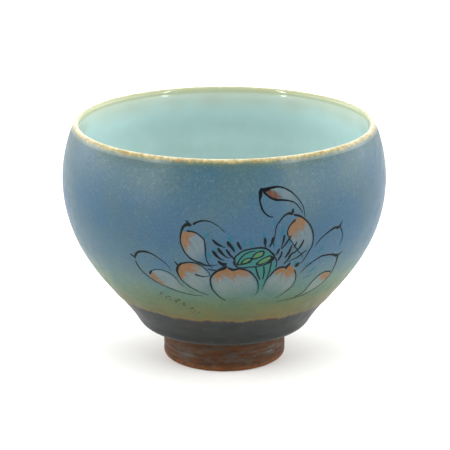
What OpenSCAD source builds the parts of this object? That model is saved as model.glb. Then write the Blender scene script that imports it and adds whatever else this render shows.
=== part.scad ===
// Handleless stoneware tea cup: a round bowl on a turned foot ring, glazed in
// layers and painted by brush with a lotus. Millimetres, +Z up, origin under the
// middle of the foot, painted face towards -Y.

/* [Cup] */
// Height from the table to the crest of the lip
cup_h = 66.4; // [65:0.1:70]
// Widest diameter, at the belly
belly_d = 88; // [86:1:94]
// Height of the belly above the table
belly_z = 51; // [49:0.5:52]
// Outside diameter at the lip, where its rounding starts
lip_d = 81.3; // [79:0.1:83]
// Lean of the wall inwards at the lip, in degrees
lip_lean = 29; // [22:1:32]
// Lean of the inside of the wall inwards at the lip, in degrees; below zero it flares
inner_lean = -18; // [-20:1:4]
// Radius of the lower wall, halfway from the heel to the belly
flank_r = 31.7; // [31:0.1:32.5]
// Height of the lower wall at that radius
flank_z = 21.3; // [20.5:0.1:22]
// Slope of the lower wall there, above the horizontal, in degrees
flank_slope = 50; // [48:0.5:52]
// Radius where the lower wall turns under into the heel
heel_r = 25; // [24.5:0.1:25.5]
// Height where the lower wall turns under into the heel
heel_z = 12.8; // [12.4:0.1:13.4]
// Slope of the wall there, above the horizontal, in degrees
heel_slope = 56.5; // [54:0.5:58]

/* [Foot] */
// Outside diameter of the foot ring
foot_d = 33.8; // [30:0.2:36]
// Height of the foot ring up to the glazed underside
foot_h = 9; // [7:0.5:10]
// Width of the foot ring
foot_wall = 3.6; // [3:0.1:5]
// Rounding of the foot ring where it meets the table
foot_round = 1.1; // [0.6:0.1:1.3]
// Depth of the hollow inside the foot ring
well_depth = 6.5; // [4:0.5:7]
// Slope of the hollow's wall, in degrees from upright
well_taper = 8; // [3:1:12]

/* [Wall] */
// Wall at the lip, glaze included
lip_wall = 1.6; // [1.4:0.1:2]
// Wall at the belly, glaze included
belly_wall = 2.6; // [2.4:0.1:3.2]
// Height of the inside floor above the table
floor_z = 11.8; // [11.4:0.1:13]
// Thickness of each glaze layer
glaze_t = 0.4; // [0.3:0.05:0.5]
// How far the brushed enamel stands proud of the glaze
enamel_t = 0.15; // [0.1:0.05:0.3]

/* [Glaze bands] */
// Height where the dark skirt ends
dark_top = 19.5; // [17:0.5:21]
// Height where the olive run ends and the blue starts
green_top = 28; // [25:0.5:30]
// Depth of the pale lip line, measured down from the crest
lip_line = 1.6; // [1.4:0.1:2.4]

/* [Brush] */
// Width of a petal's outline at its heaviest
line_w = 0.6; // [0.4:0.05:0.8]
// Width of a stamen's dab
dab_w = 0.7; // [0.5:0.05:0.9]

/* [Hidden] */
$fn = 96;
belly_r = belly_d / 2;
foot_r = foot_d / 2;
lip_cap = lip_wall / 2;
lip_r = lip_d / 2;
lip_out = [cos(lip_lean), sin(lip_lean)];   // square to the outer wall at the lip
lip_z = cup_h - lip_cap + lip_cap * lip_out[1];
lip_centre = [lip_r, lip_z] - lip_cap * lip_out;
well_r = foot_r - foot_wall;
hub_r = well_r - well_depth * tan(well_taper);
lip_line_z = cup_h - lip_line;
far = 2 * cup_h;                  // beyond every surface of the cup
edge_steps = 6;                   // straight stretches along a short curve
side_steps = 14;                  // straight stretches along a long curve
brush_steps = 4;                  // straight stretches between two points of a brush stroke

// ---- Curves ----------------------------------------------------------------

function unit(v) = v / norm(v);
function bez(p, t) =
    pow(1 - t, 3) * p[0] + 3 * pow(1 - t, 2) * t * p[1] + 3 * (1 - t) * t * t * p[2] + pow(t, 3) * p[3];
function bez_dir(p, t) =
    unit(pow(1 - t, 2) * (p[1] - p[0]) + 2 * (1 - t) * t * (p[2] - p[1]) + t * t * (p[3] - p[2]));
// Point of a wall curve, moved d outwards (to the right of the way it runs)
function moved(p, t, d) = bez(p, t) + d * [bez_dir(p, t)[1], -bez_dir(p, t)[0]];

// Outer wall as [radius, height], from the foot up to the lip, in four curves
heel_pt = [heel_r, heel_z];
heel_dir = [cos(heel_slope), sin(heel_slope)];
flank_pt = [flank_r, flank_z];
flank_dir = [cos(flank_slope), sin(flank_slope)];
belly_pt = [belly_r, belly_z];
lip_pt = [lip_r, lip_z];
lip_dir = [lip_out[1], -lip_out[0]];   // down the wall from the lip
heel = [[foot_r, foot_h], [heel_r - 1.3, foot_h], heel_pt - 3 * heel_dir, heel_pt];
lower = [heel_pt, heel_pt + 3 * heel_dir, flank_pt - 3 * flank_dir, flank_pt];
flank = [flank_pt, flank_pt + 13 * flank_dir, belly_pt - [0, 11], belly_pt];
upper = [belly_pt, belly_pt + [0, 4.3], lip_pt + 4.3 * lip_dir, lip_pt];

// Inner wall as [radius, height], from the floor up to the lip, in two curves
inner_belly = belly_pt - [belly_wall, 0];
inner_lip = lip_centre - lip_cap * [cos(inner_lean), sin(inner_lean)];
inner_dir = [sin(inner_lean), -cos(inner_lean)];   // down the inside from the lip
basin = [[0, floor_z], [24, floor_z], inner_belly - [0, 22], inner_belly];
inner_upper = [inner_belly, inner_belly + [0, 5], inner_lip + 4.5 * inner_dir, inner_lip];

function along(p, d, steps, first = 0) = [for (i = [first:steps]) moved(p, i / steps, d)];
function outer_pts(d) = concat(along(heel, d, edge_steps), along(lower, d, edge_steps, 1),
                               along(flank, d, side_steps, 1), along(upper, d, edge_steps, 1));
function inner_pts(d) = concat(along(basin, d, side_steps), along(inner_upper, d, edge_steps, 1));

// Outer radius of the wall at a height, used to wrap the painting round it
wall_table = [for (p = concat(along(lower, 0, edge_steps), along(flank, 0, side_steps, 1),
                              along(upper, 0, edge_steps, 1))) [p[1], p[0]]];
function wall_r(z) = lookup(z, wall_table);

// ---- Sections of the wall --------------------------------------------------

// Everything inside the outer wall moved d outwards, closed to the axis
module outer_section(d) {
    pts = outer_pts(d);
    top = pts[len(pts) - 1];
    polygon(concat([[0, pts[0][1]]], pts, [[0, top[1]]]));
}

// The drinking space, its wall moved d into the clay, open at the top
module inner_section(d) {
    pts = inner_pts(d);
    top = pts[len(pts) - 1];
    polygon(concat(pts, [[top[0], far], [0, far]]));
}

// Points over the rounded crest of the lip, from outside to inside, d smaller all round
function lip_pts(d) = [for (i = [1:edge_steps - 1])
    let (a = lip_lean + (180 + inner_lean - lip_lean) * i / edge_steps)
    lip_centre + (lip_cap - d) * [cos(a), sin(a)]];

function reversed(p) = [for (i = [len(p) - 1:-1:0]) p[i]];

// The wall and floor, less a skin d thick over all but the middle of the underside
module wall_section(d) {
    polygon(concat([[0, well_depth], [hub_r, well_depth], [hub_r, foot_h + d]],
                   outer_pts(-d), lip_pts(d), reversed(inner_pts(d))));
}

module band(z_low, z_high) {
    translate([0, z_low])
        square([far, z_high - z_low]);
}

// One band of the outer glaze
module glaze_band(z_low, z_high) {
    rotate_extrude()
        intersection() {
            difference() {
                outer_section(0);
                outer_section(-glaze_t);
                square([foot_r, heel_z]);
            }
            band(z_low, z_high);
        }
}

// ---- Cup -------------------------------------------------------------------

module clay_bowl() {
    color("#5b4636")
        rotate_extrude()
            wall_section(glaze_t);
}

module foot_ring() {
    top = foot_h + glaze_t;
    color("#5a3a24")
        rotate_extrude()
            difference() {
                union() {
                    translate([hub_r, 0])
                        square([foot_r - foot_round - hub_r, top]);
                    translate([foot_r - foot_round, foot_round])
                        square([foot_round, top - foot_round]);
                    translate([foot_r - foot_round, foot_round])
                        circle(r = foot_round);
                }
                polygon([[0, -1], [well_r + foot_round, -1], [well_r + foot_round / 2, 0],
                         [well_r, foot_round], [hub_r, well_depth], [0, well_depth]]);
            }
}

module liner_glaze() {
    color("#b5ccc3")
        rotate_extrude()
            intersection() {
                difference() {
                    inner_section(glaze_t);
                    inner_section(0);
                }
                band(0, lip_line_z);
            }
}

module lip_glaze() {
    color("#d9d3b4")
        rotate_extrude()
            intersection() {
                difference() {
                    wall_section(0);
                    wall_section(glaze_t);
                }
                band(lip_line_z, far);
            }
}

module blue_glaze() {
    color("#5f7f92")
        glaze_band(green_top, lip_line_z);
}

module olive_glaze() {
    color("#66704f")
        glaze_band(dark_top, green_top);
}

module dark_glaze() {
    color("#35382f")
        glaze_band(foot_h, dark_top);
}

// ---- Painting --------------------------------------------------------------
// The painting is drawn flat as [distance round the belly from the front, height]
// and then wrapped on the wall.

function spline(a, b, c, d, t) =
    0.5 * (2 * b + (c - a) * t + (2 * a - 5 * b + 4 * c - d) * t * t + (3 * b - a - 3 * c + d) * t * t * t);

// Smooth open curve through the points
function curve(p) = let (n = len(p) - 1) concat(
    [for (i = [0:n - 1], s = [0:brush_steps - 1])
        spline(p[max(i - 1, 0)], p[i], p[i + 1], p[min(i + 2, n)], s / brush_steps)], [p[n]]);

// Smooth closed curve through the points
function loop(p) = let (n = len(p))
    [for (i = [0:n - 1], s = [0:brush_steps - 1])
        spline(p[(i + n - 1) % n], p[i], p[(i + 1) % n], p[(i + 2) % n], s / brush_steps)];

// From the flat drawing to the view from the front of the wrapped one
function wrapped(p) = [wall_r(p[1]) * sin(p[0] / belly_r * 180 / PI), p[1]];

function side_of(c, i) = let (n = len(c) - 1, d = unit(c[min(i + 1, n)] - c[max(i - 1, 0)])) [-d[1], d[0]];

// Brush stroke through the points, swelling from its thin start to width w
module stroke(points, w, start = 0.35, end = 0.25) {
    c = curve(points);
    n = len(c) - 1;
    half = [for (i = [0:n])
        w / 2 * (start + (end - start) * i / n + (1 - max(start, end)) * sin(180 * i / n))];
    polygon(concat(
        [for (i = [0:n]) wrapped(c[i] + half[i] * side_of(c, i))],
        [for (i = [n:-1:0]) wrapped(c[i] - half[i] * side_of(c, i))]));
}

module patch(points) {
    polygon([for (p = loop(points)) wrapped(p)]);
}

module lines(list) {
    for (points = list)
        stroke(points, line_w);
}

// Lays a flat drawing on the glaze between two heights
module enamel(z_low, z_high) {
    intersection() {
        rotate([90, 0, 0])
            linear_extrude(height = far)
                children();
        rotate_extrude()
            intersection() {
                difference() {
                    outer_section(enamel_t);
                    outer_section(0);
                }
                band(z_low, z_high);
            }
    }
}

// Outline strokes of each petal
left_outer_lines = [
    [[-26.5, 40], [-24.8, 39]],
    [[-25, 39.5], [-22.5, 41.5], [-19, 41], [-16, 38.8], [-14.6, 36.8]],
    [[-25.2, 38], [-24.5, 36], [-22, 33.5], [-18.2, 31.5], [-13.5, 30], [-6, 29.2]],
    [[-21.5, 34.7], [-20.5, 36], [-17.5, 36.7], [-14.6, 35.6], [-11.8, 31.8]]];
left_low_lines = [
    [[-12.6, 38.2], [-11.5, 39.3], [-9, 39.8], [-6.2, 39], [-3.8, 36]],
    [[-12.7, 37.9], [-12.8, 36.5], [-11.5, 33.7], [-9.3, 31.6], [-4.7, 29.6]],
    [[-7.8, 36.3], [-6, 35.7], [-4, 35.9]]];
left_upright_lines = [
    [[-8.8, 50.3], [-10.5, 49.3], [-11.2, 46], [-10.3, 42.7], [-7.7, 40.6], [-1.7, 39.6]],
    [[-9.5, 48.5], [-7, 48], [-5, 46], [-4.9, 42], [-3.4, 40.4]]];
left_back_lines = [[[-7.8, 50.6], [-5, 51.5], [-2, 50.5], [0.2, 48.4]]];
front_centre_lines = [
    [[0.2, 38.6], [-2.5, 37], [-3.4, 34], [-3, 31], [0.6, 27.7]],
    [[1.2, 38.4], [4.2, 38.2], [7.5, 36.7], [9.2, 33.8], [9.4, 30.6]]];
front_right_lines = [
    [[16.8, 37.2], [15, 37.5], [13.2, 35.6], [11.6, 32]],
    [[20, 36.2], [21.2, 33.3], [20, 30.2], [17, 27.9]]];
right_upright_lines = [
    [[17.8, 53.6], [17.6, 52.4], [15.3, 51.9], [13.5, 49.5], [12.9, 46]],
    [[18.2, 52], [21.6, 50.1], [24, 46.5], [23.8, 42], [21.3, 38.6]],
    [[18.6, 50.5], [16.5, 48.2], [17.5, 45], [21.3, 40.4]]];
right_back_lines = [
    [[33.2, 47.4], [32.6, 46.2], [30.8, 46.4], [28, 45.2], [25.5, 43]],
    [[33.4, 45.5], [34.5, 43.5], [33.9, 40.8]]];
right_outer_lines = [
    [[35.7, 38.3], [34, 37.9], [30, 39], [26.3, 38.3], [22.4, 35.2]],
    [[34.6, 37.3], [35, 34], [33.6, 30.3], [29.5, 27.6], [23, 26.4], [17.2, 26.1]],
    [[34.2, 32.8], [31.6, 33.4], [28.3, 31.7], [26.5, 28.5], [23.5, 27.2]]];
top_lines = [
    [[9, 59.1], [14, 59.5], [17.6, 57.9], [20.4, 54.6], [21.2, 51]],
    [[10, 58.4], [12, 57], [15.5, 56], [18.5, 55], [20.4, 52.4]],
    [[9.3, 58.4], [9.1, 56.3], [10.3, 53.3], [12.5, 52]]];

// Coloured face of each petal
left_outer_face = [[-24.8, 38.5], [-22.5, 41.2], [-19, 40.7], [-14.9, 36.8], [-8, 29.8], [-13.5, 30.3],
                   [-18.2, 31.8], [-22, 33.9]];
left_low_face = [[-12.4, 38], [-9, 39.5], [-6.2, 38.7], [-4, 35.9], [-4.9, 30], [-9.2, 31.9],
                 [-12.4, 36.4]];
left_upright_face = [[-8.8, 50], [-5.2, 46], [-5.1, 42], [-4, 40.3], [-7.7, 40.9], [-10.8, 46]];
front_centre_face = [[0.6, 38.3], [4.2, 37.9], [7.3, 36.4], [9, 33.8], [8, 30], [0.8, 28.2], [-3.1, 34]];
front_right_face = [[17, 37], [19.8, 36], [20.9, 33.3], [17, 28.4], [12.2, 32], [13.5, 35.5]];
right_upright_face = [[18, 51.6], [21.4, 49.8], [23.7, 46.5], [23.5, 42], [21, 39], [15.8, 44], [13.3, 47],
                      [15.4, 51.5]];
right_outer_face = [[34.4, 37.3], [30, 38.6], [26.3, 37.9], [22.7, 34.8], [21, 28], [23, 26.8], [29.3, 28],
                    [33.2, 30.6], [34.6, 34]];
top_face = [[9.6, 58.2], [14, 59.1], [17.4, 57.6], [20.8, 52], [17, 52.5], [12.5, 52.4], [9.6, 55]];

// Where each petal is coral
left_outer_tip = [[-20.8, 36], [-17.6, 36.3], [-15, 34.6], [-14.5, 31.2], [-18, 32.2], [-20.9, 34.2]];
left_low_tip = [[-12, 38], [-9, 39.2], [-5.8, 38], [-8.5, 36.8], [-11.3, 35.3]];
left_upright_tip = [[-9, 49.6], [-7, 47.6], [-8.4, 46.4], [-10.2, 44], [-10.5, 46]];
front_centre_tip = [[0.6, 38], [4.2, 37.6], [7.6, 35.6], [5, 34.6], [1.5, 34.4], [-2.4, 35.4]];
front_right_tip = [[16.8, 36.8], [19.5, 35.8], [19.6, 34.4], [16.6, 34.6], [13.8, 34.4]];
right_upright_tip = [[18.4, 50], [21, 49], [23, 46], [20.6, 45.4], [17.2, 47.4]];
right_outer_tip = [[33.4, 33], [31.4, 33], [29, 31.5], [30.4, 30.4], [33.2, 31.4]];
top_tip = [[12.2, 58.4], [15, 58.2], [15.8, 57], [13.4, 57], [11.6, 57.6]];

// Seed head: a tilted oval top on a cone
head_centre = [8, 41.2];
head_size = [5.4, 2.6];
head_tilt = 6;
head_cone = [[6.1, 38.4], [9.4, 34], [9.9, 30.6], [10.6, 30.6], [11.4, 33.4], [13.4, 37], [13.8, 39.5]];
cone_ribs = [
    [[8.4, 38.4], [9.2, 36.3], [10, 34.4]],
    [[10.6, 38.5], [10.9, 36.4], [10.8, 34.3]],
    [[12.8, 39.4], [12.6, 37.6], [11.8, 35]]];
seed_spots = [[8.8, 42.1, 1.6], [5.9, 40.5, 1.5], [10.5, 40.3, 2.1]];   // x, height, half length
seed_slim = 0.42;                 // half height of a seed over its half length
seed_tilt = 24;

function oval(centre, size, tilt, steps = 24) = [for (i = [0:steps - 1])
    let (a = 360 * i / steps, p = [size[0] * cos(a), size[1] * sin(a)])
    centre + [p[0] * cos(tilt) - p[1] * sin(tilt), p[0] * sin(tilt) + p[1] * cos(tilt)]];

left_stamens = [
    [[-3.1, 46.5], [-1.6, 45.2], [0.3, 44.1]],
    [[0.8, 46], [1.6, 44.6], [2.4, 43.4]],
    [[3.4, 45.8], [4.2, 44]],
    [[0.5, 43.8], [1.2, 42.6], [2.6, 41.3]],
    [[-1.7, 44.2], [-0.5, 42.6], [1.4, 41.7]],
    [[-3.1, 43.2], [-2.2, 41.8], [0, 40.7]],
    [[-1.5, 40.5], [-0.5, 39.6], [0.6, 39.6]]];
right_stamens = [
    [[10.4, 46.5], [10.8, 44.4]],
    [[12.2, 46.3], [12.2, 44.9], [11.6, 44]],
    [[15.4, 46], [15.3, 44.3], [14.6, 42.8]],
    [[17.6, 45.4], [16.8, 43.9], [15.4, 42.8]],
    [[14.7, 42.9], [14.4, 41.9], [13.8, 41]],
    [[15.4, 41.8], [15.5, 40.4], [14.9, 39.2]],
    [[18.1, 43], [17.5, 41.2], [16.5, 39.8]],
    [[19.5, 43.6], [19.3, 42.4], [18.7, 41.8]],
    [[21.6, 44.4], [20.5, 42.5], [18.7, 41], [17.2, 39]],
    [[22.6, 40.8], [20.9, 39.9], [18.9, 39]]];

// Soft teal strokes that fall behind the stamens
wash_strokes = [
    [[-6.5, 46], [-6.3, 44]],
    [[-4.5, 48.4], [-4, 47]],
    [[1.2, 49.6], [1.3, 47.2]],
    [[5.6, 48.6], [5.7, 46.6]],
    [[8.3, 48], [8.4, 45.6]],
    [[26.5, 41.4], [25, 39.8]]];
wash_w = 0.9;

// Loose flecks of iron left of the lotus, scattered over a slanting patch
fleck_centre = [-15, 25.6];
fleck_spread = [7, 1.6];
fleck_tilt = -24;
fleck_count = 22;
fleck_r = 0.32;
golden_angle = 137.5;

module oval_area(grow) {
    polygon([for (p = oval(head_centre, head_size + [grow, grow], head_tilt)) wrapped(p)]);
}

module seed_areas() {
    for (s = seed_spots)
        polygon([for (p = oval([s[0], s[1]], [s[2], s[2] * seed_slim], seed_tilt)) wrapped(p)]);
}

module head_area() {
    oval_area(0);
    patch(head_cone);
}

module head_line_area() {
    difference() {
        oval_area(line_w / 4);
        oval_area(-line_w / 4);
    }
    difference() {
        lines(cone_ribs);
        oval_area(0);
    }
}

// A petal's pale enamel, between its coral part and its outline
module pale(face, tip, outline, shade = "#bcd0d6") {
    color(shade)
        enamel(min([for (p = face) p[1]]) - 1, max([for (p = face) p[1]]) + 1)
            difference() {
                patch(face);
                patch(tip);
                lines(outline);
            }
}

module coral(tip, outline) {
    color("#c4705c")
        enamel(min([for (p = tip) p[1]]) - 1, max([for (p = tip) p[1]]) + 1)
            difference() {
                patch(tip);
                lines(outline);
            }
}

module ink(outline) {
    heights = [for (points = outline, p = points) p[1]];
    color("#2e3234")
        enamel(min(heights) - 1, max(heights) + 1)
            lines(outline);
}

module petal_left_outer() pale(left_outer_face, left_outer_tip, left_outer_lines);
module petal_left_low() pale(left_low_face, left_low_tip, left_low_lines);
module petal_left_upright() pale(left_upright_face, left_upright_tip, left_upright_lines);
module petal_front_centre() pale(front_centre_face, front_centre_tip, front_centre_lines);
module petal_front_right() pale(front_right_face, front_right_tip, front_right_lines);
module petal_right_upright() pale(right_upright_face, right_upright_tip, right_upright_lines);
module petal_right_outer() pale(right_outer_face, right_outer_tip, right_outer_lines);
module petal_top() pale(top_face, top_tip, top_lines);

module tip_left_outer() coral(left_outer_tip, left_outer_lines);
module tip_left_low() coral(left_low_tip, left_low_lines);
module tip_left_upright() coral(left_upright_tip, left_upright_lines);
module tip_front_centre() coral(front_centre_tip, front_centre_lines);
module tip_front_right() coral(front_right_tip, front_right_lines);
module tip_right_upright() coral(right_upright_tip, right_upright_lines);
module tip_right_outer() coral(right_outer_tip, right_outer_lines);
module tip_top() coral(top_tip, top_lines);

module line_left_outer() ink(left_outer_lines);
module line_left_low() ink(left_low_lines);
module line_left_upright() ink(left_upright_lines);
module line_left_back() ink(left_back_lines);
module line_front_centre() ink(front_centre_lines);
module line_front_right() ink(front_right_lines);
module line_right_upright() ink(right_upright_lines);
module line_right_back() ink(right_back_lines);
module line_right_outer() ink(right_outer_lines);
module line_top() ink(top_lines);

module seed_head() {
    color("#5f9a98")
        enamel(28, 46)
            difference() {
                head_area();
                head_line_area();
                seed_areas();
            }
}

module seeds() {
    color("#7fa35a")
        enamel(37, 46)
            seed_areas();
}

module seed_head_lines() {
    color("#2e3234")
        enamel(32, 46)
            head_line_area();
}

module stamens(list) {
    color("#2b2f31")
        enamel(37, 48)
            for (points = list)
                stroke(points, dab_w, start = 0.6, end = 0.4);
}

module teal_wash() {
    color("#3f7f96")
        enamel(39, 51)
            for (points = wash_strokes)
                stroke(points, wash_w, start = 0.4, end = 0.4);
}

module glaze_flecks() {
    color("#5a4a22")
        enamel(fleck_centre[1] - 6, fleck_centre[1] + 6)
            for (i = [1:fleck_count]) {
                reach = sqrt(i / fleck_count);
                spot = oval(fleck_centre, fleck_spread * reach, fleck_tilt, 360);
                size = fleck_r * (0.6 + 0.4 * sin(i * golden_angle));
                translate(wrapped(spot[floor(i * golden_angle) % 360]))
                    circle(r = size, $fn = 16);
            }
}

module stamens_left() stamens(left_stamens);
module stamens_right() stamens(right_stamens);

clay_bowl();
foot_ring();
liner_glaze();
lip_glaze();
blue_glaze();
olive_glaze();
dark_glaze();
petal_left_outer();
petal_left_low();
petal_left_upright();
petal_front_centre();
petal_front_right();
petal_right_upright();
petal_right_outer();
petal_top();
tip_left_outer();
tip_left_low();
tip_left_upright();
tip_front_centre();
tip_front_right();
tip_right_upright();
tip_right_outer();
tip_top();
line_left_outer();
line_left_low();
line_left_upright();
line_left_back();
line_front_centre();
line_front_right();
line_right_upright();
line_right_back();
line_right_outer();
line_top();
seed_head();
seeds();
seed_head_lines();
stamens_left();
stamens_right();
teal_wash();
glaze_flecks();
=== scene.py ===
"""Looks of the stoneware tea cup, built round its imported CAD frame.

The glazed wall is one smooth skin of revolution that follows the CAD wall, cut into the same
zones as the CAD nodes. The lotus is drawn flat as (distance round the belly, height) in
millimetres and wrapped on the wall as thin raised enamel, piece by piece.
"""
import math

import bpy
import numpy as np
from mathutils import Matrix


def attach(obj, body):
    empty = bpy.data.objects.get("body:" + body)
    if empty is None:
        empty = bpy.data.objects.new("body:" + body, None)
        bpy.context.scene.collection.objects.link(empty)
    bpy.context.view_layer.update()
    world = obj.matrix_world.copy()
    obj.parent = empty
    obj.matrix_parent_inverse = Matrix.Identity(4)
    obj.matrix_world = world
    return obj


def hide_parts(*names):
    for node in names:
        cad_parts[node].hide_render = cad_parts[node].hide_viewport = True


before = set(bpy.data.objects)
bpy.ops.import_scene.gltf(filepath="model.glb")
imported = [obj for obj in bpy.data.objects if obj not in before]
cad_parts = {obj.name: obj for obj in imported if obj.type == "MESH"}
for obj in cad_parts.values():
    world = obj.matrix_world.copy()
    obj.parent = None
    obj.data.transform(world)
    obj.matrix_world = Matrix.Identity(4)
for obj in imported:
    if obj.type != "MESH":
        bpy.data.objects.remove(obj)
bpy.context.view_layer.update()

MM = 0.001
TURNS = 640            # steps round the glazed wall
GLAZE = 0.4            # mm, thickness of a glaze layer in the frame
SINK = 0.06            # mm, how far painted pieces reach into the glaze under them
PAST_HEEL = 25         # mm, the radius from which the outer wall only rises
EDGE_R = 30            # mm, about the radius where the olive run ends
LINER_R = 39           # mm, the radius at which lengths round the inner wall are measured
BODY = "root"


# ---- Frame: the wall as (radius, height) in millimetres ---------------------

def rings(node):
    """Every (radius, height) of the node's vertices."""
    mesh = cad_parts[node].data
    return {(round(math.hypot(v.co.x, v.co.y) / MM, 3), round(v.co.z / MM, 3)) for v in mesh.vertices}


def wall_points(node, keep):
    """Section points (r, z) of the node's faces whose outward slant (n_r, n_z) passes keep."""
    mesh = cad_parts[node].data
    top = max(v.co.z for v in mesh.vertices)
    points = set()
    for poly in mesh.polygons:
        corners = [mesh.vertices[i].co for i in poly.vertices]
        away = poly.center.copy()
        away.z = 0
        if min(c.z for c in corners) > top - 1e-6 or away.length < 1e-6:
            continue
        if keep(poly.normal.dot(away.normalized()), poly.normal.z):
            points.update((round(math.hypot(c.x, c.y) / MM, 3), round(c.z / MM, 3)) for c in corners)
    return points


def spaced(points):
    """The points with near doubles dropped."""
    kept = []
    for p in points:
        if not kept or math.dist(kept[-1], p) > 0.05:
            kept.append(p)
    return kept


def hull_over(points):
    """The upper side of the points' convex hull, from the largest radius to the smallest."""
    kept = []
    for p in sorted(points, reverse=True):
        while len(kept) > 1 and (
            (kept[-1][0] - kept[-2][0]) * (p[1] - kept[-2][1])
            - (kept[-1][1] - kept[-2][1]) * (p[0] - kept[-2][0])
        ) <= 0:
            kept.pop()
        kept.append(p)
    return kept


def smooth_path(points, step):
    """Even steps along a smooth curve through the points."""
    p = np.array(points, float)
    chord = np.concatenate([[0], np.cumsum(np.sqrt((np.diff(p, axis=0) ** 2).sum(1)))])
    slope = np.gradient(p, chord, axis=0)
    at = np.linspace(0, chord[-1], max(2, int(round(chord[-1] / step)) + 1))
    i = np.clip(np.searchsorted(chord, at, side="right") - 1, 0, len(p) - 2)
    span = (chord[i + 1] - chord[i])[:, None]
    t = (at - chord[i])[:, None] / span
    return (
        (2 * t**3 - 3 * t**2 + 1) * p[i] + (t**3 - 2 * t**2 + t) * span * slope[i]
        + (3 * t**2 - 2 * t**3) * p[i + 1] + (t**3 - t**2) * span * slope[i + 1]
    )


outer = set()
for node in ("olive_glaze", "blue_glaze"):
    outer |= wall_points(node, lambda n_r, n_z: n_r > 0.02)
outer |= wall_points("dark_glaze", lambda n_r, n_z: n_r > 0.02 or n_z < -0.9)
outer = spaced(sorted(outer, key=lambda p: (p[1], p[0])))
lip_low = min(z for r, z in rings("lip_glaze"))
floor_z = max(z for r, z in rings("liner_glaze") if r < 0.1)
inner = wall_points("liner_glaze", lambda n_r, n_z: n_r < -0.02 or n_z > 0.3)
inner = spaced(sorted((p for p in inner if p[1] > floor_z - 0.001), key=lambda p: (-p[1], -p[0])))
lip = hull_over(p for p in rings("lip_glaze") if p[1] > lip_low + 0.05)
belly_r = max(r for r, z in outer)

# The whole skin, from the foot up the outside, over the lip and down to the middle of the floor
skin = smooth_path(spaced(outer + lip + inner), 0.02)
skin[:, 0] = np.clip(skin[:, 0], 0, belly_r)
skin_s = np.concatenate([[0], np.cumsum(np.hypot(*np.diff(skin, axis=0).T))])
skin_n = np.gradient(skin, skin_s, axis=0)[:, ::-1] * [1, -1]
skin_n /= np.linalg.norm(skin_n, axis=1)[:, None]
crest = int(np.argmax(skin[:, 1]))


def skin_at(s):
    """(r, z, n_r, n_z) of the skin at distances s along it."""
    return [np.interp(s, skin_s, column) for column in (*skin.T, *skin_n.T)]


def outer_at(z):
    """(r, n_r, n_z) of the outer wall at height z."""
    first = int(np.argmax(skin[:, 0] > PAST_HEEL))
    part = slice(first, crest)
    return [np.interp(z, skin[part, 1], c[part]) for c in (skin[:, 0], skin_n[:, 0], skin_n[:, 1])]


# ---- Noise and relief -------------------------------------------------------

NOISE_CELLS = 512      # cells of the noise table each way


def noise(x, y, cell_x, cell_y, seed, around=None):
    """Smooth noise from -1 to 1 with cells of the given size; around closes it along x."""
    table = np.random.default_rng(seed).uniform(-1, 1, (NOISE_CELLS, NOISE_CELLS))
    if around is not None:
        count = max(1, int(round(around / cell_x)))
        cell_x = around / count
    x = np.asarray(x, float) / cell_x
    y = np.asarray(y, float) / cell_y
    ix = np.floor(x).astype(int)
    iy = np.floor(y).astype(int)
    fx = x - ix
    fy = y - iy
    fx = fx * fx * (3 - 2 * fx)
    fy = fy * fy * (3 - 2 * fy)
    wrap = count if around is not None else NOISE_CELLS
    x0 = ix % wrap
    x1 = (ix + 1) % wrap
    y0 = iy % NOISE_CELLS
    y1 = (iy + 1) % NOISE_CELLS
    low = table[y0, x0] * (1 - fx) + table[y0, x1] * fx
    high = table[y1, x0] * (1 - fx) + table[y1, x1] * fx
    return low * (1 - fy) + high * fy


def ease(x, low, high):
    """0 below low, 1 above high, smooth between."""
    t = np.clip((np.asarray(x, float) - low) / (high - low), 0, 1)
    return t * t * (3 - 2 * t)


def edge_z(az):
    """Height where the olive run ends over the dark skirt, ragged all round."""
    u = az * EDGE_R
    around = 2 * math.pi * EDGE_R
    ragged = 0.0
    for cell, depth in ((6.5, 0.26), (2.3, 0.28), (0.95, 0.28), (0.5, 0.14)):
        ragged = ragged + depth * noise(u, 0, cell, 1, round(cell * 10), around)
    return 19.3 + 0.75 * np.cos(az + 1.05) + ragged


def outer_dip(az, z):
    """How far the outer glaze surface lies inside the plain wall, in mm."""
    over = z - edge_z(az)
    u = az * belly_r
    around = 2 * math.pi * belly_r
    waves = 0.022 * (1 + noise(u, z, 17, 5, 11, around)) + 0.006 * (1 + noise(u, z, 5, 2.2, 12, around))
    below = 0.13 * ease(-over, -0.05, 0.45) + 0.02 * (1 + noise(u, z, 9, 1.6, 13, around)) * (over < 0)
    roll = 0.05 * ease(over, 0.5, 2.2)
    return (waves + below + roll) * ease(66.2 - z, 0, 2)


def liner_dip(az, s):
    """How far the inner glaze surface lies behind the plain wall, in mm."""
    u = az * LINER_R
    around = 2 * math.pi * LINER_R
    return 0.02 * (1 + noise(u, s, 8, 6, 21, around)) + 0.007 * (1 + noise(u, s, 3.1, 4.5, 22, around))


# ---- Meshes -----------------------------------------------------------------

def mesh_object(name, points, faces, sharp=None):
    """A mesh from points in mm; faces of any mix of triangles, quads and larger."""
    mesh = bpy.data.meshes.new(name)
    mesh.from_pydata((np.asarray(points) * MM).tolist(), [], faces)
    mesh.polygons.foreach_set("use_smooth", np.ones(len(mesh.polygons), bool))
    if sharp is not None:
        ends = np.empty(len(mesh.edges) * 2, np.int32)
        mesh.edges.foreach_get("vertices", ends)
        flags = sharp[ends].reshape(-1, 2).all(1)
        mesh.attributes.new("sharp_edge", "BOOLEAN", "EDGE").data.foreach_set("value", flags)
    mesh.update()
    piece = bpy.data.objects.new(name, mesh)
    bpy.context.scene.collection.objects.link(piece)
    return piece


def give(piece, **values):
    """Sets one number per vertex for each name."""
    for name, numbers in values.items():
        made = piece.data.attributes.new(name, "FLOAT", "POINT")
        made.data.foreach_set("value", np.asarray(numbers, np.float32).ravel())


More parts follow.
